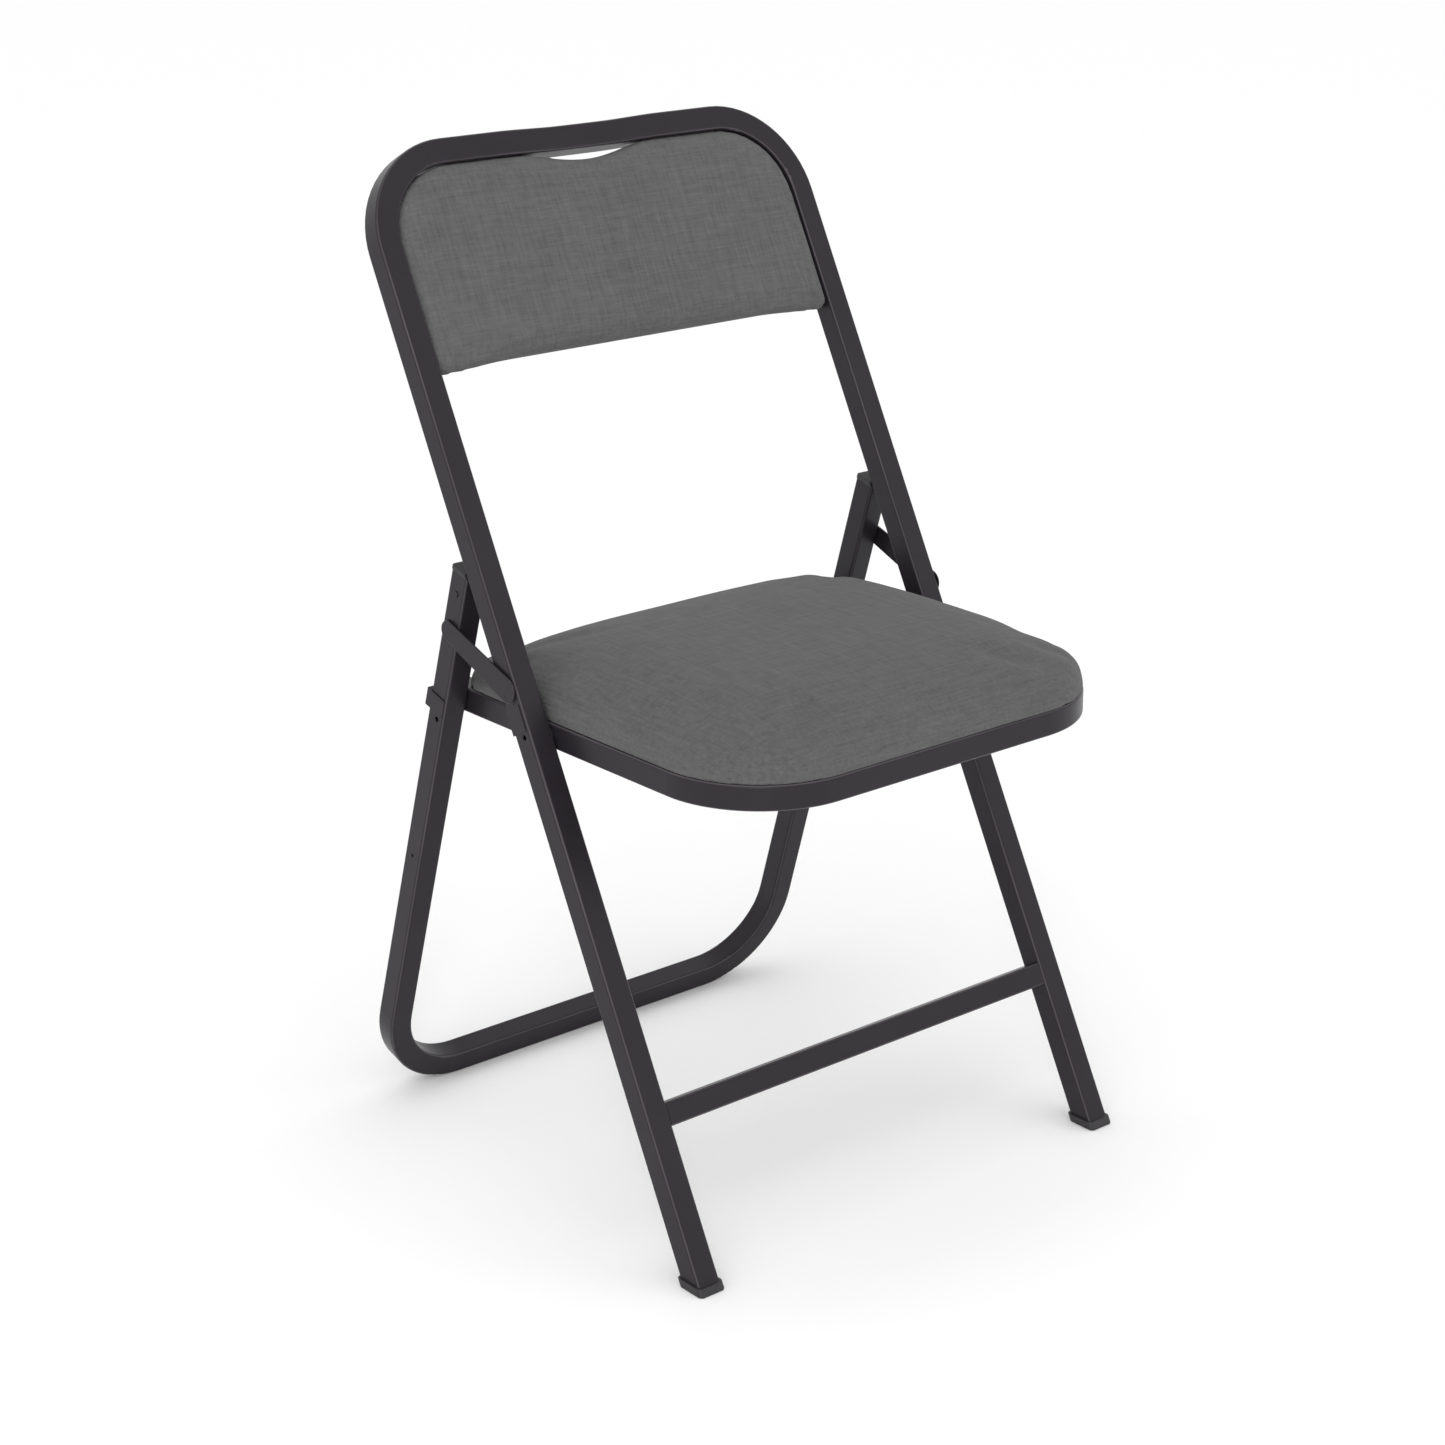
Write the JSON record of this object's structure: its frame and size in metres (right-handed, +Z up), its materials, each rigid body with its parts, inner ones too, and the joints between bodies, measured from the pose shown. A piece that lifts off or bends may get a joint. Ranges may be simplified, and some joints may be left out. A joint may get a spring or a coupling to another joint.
{
  "type": "folding chair",
  "caption": "Folding chair of square steel tube with an upholstered seat and back; the seat swings up and the rear legs fold in behind the uprights.",
  "frame": {"origin": "on the floor, at the middle of the bounding box", "axes": "+X to the viewer's right as the chair is faced, -Y to the front, +Z up"},
  "size_m": [0.455, 0.4816, 0.824],
  "materials": {
    "frame_paint": "satin near-black powder coat with a warm violet cast",
    "upholstery": "mid grey melange linen weave over foam",
    "black_plastic": "matt black moulded plastic",
    "board": "dark stained plywood",
    "zinc": "zinc plated steel"
  },
  "bodies": {
    "front_frame": {"front_frame_tube": "frame_paint", "front_stretcher": "frame_paint", "foot_cap_left": "black_plastic", "foot_cap_right": "black_plastic", "upright_clip_left": "frame_paint", "upright_clip_right": "frame_paint", "seat_pivot_left": "zinc", "seat_pivot_right": "zinc", "seat_washer_left": "black_plastic", "seat_washer_right": "black_plastic", "link_front_rivet_left": "frame_paint", "link_front_rivet_right": "frame_paint", "link_washer_left": "black_plastic", "link_washer_right": "black_plastic", "back_board": "board", "back_pad": "upholstery", "back_tabs": "frame_paint", "back_screws": "zinc"},
    "seat": {"seat_frame_tube": "frame_paint", "seat_crossbar": "frame_paint", "seat_board": "board", "seat_cushion": "upholstery", "seat_tabs": "frame_paint", "seat_screws": "zinc", "rail_plug_left": "black_plastic", "rail_plug_right": "black_plastic"},
    "rear_frame": {"rear_leg_tube": "frame_paint", "rear_cap_left": "black_plastic", "rear_cap_right": "black_plastic", "rear_cap_rivet_left": "frame_paint", "rear_cap_rivet_right": "frame_paint", "rear_saddle_left": "frame_paint", "rear_saddle_right": "frame_paint", "seat_rear_pivot_left": "zinc", "seat_rear_pivot_right": "zinc"},
    "link_left": {"link_left": "frame_paint", "link_rear_rivet_left": "frame_paint"},
    "link_right": {"link_right": "frame_paint", "link_rear_rivet_right": "frame_paint"}
  },
  "joints": [
    {"name": "seat_fold", "type": "hinge", "parent": "front_frame", "child": "seat", "pos_m": [0, -0.00122, 0.3912], "axis": [-1, 0, 0], "range_deg": [0, 102]},
    {"name": "rear_leg_fold", "type": "hinge", "parent": "seat", "child": "rear_frame", "pos_m": [0, 0.11503, 0.39013], "axis": [-1, 0, 0], "range_deg": [-59, 0]},
    {"name": "link_left_fold", "type": "hinge", "parent": "front_frame", "child": "link_left", "pos_m": [0, 0.01518, 0.42269], "axis": [-1, 0, 0], "range_deg": [0, 119.1]},
    {"name": "link_right_fold", "type": "hinge", "parent": "front_frame", "child": "link_right", "pos_m": [0, 0.01518, 0.42269], "axis": [-1, 0, 0], "range_deg": [0, 119.1]}
  ],
  "couplings": [
    {"joint": "rear_leg_fold", "follows": "seat_fold", "ratio": -0.578},
    {"joint": "link_left_fold", "follows": "seat_fold", "ratio": 1.1668},
    {"joint": "link_right_fold", "follows": "seat_fold", "ratio": 1.1668}
  ]
}
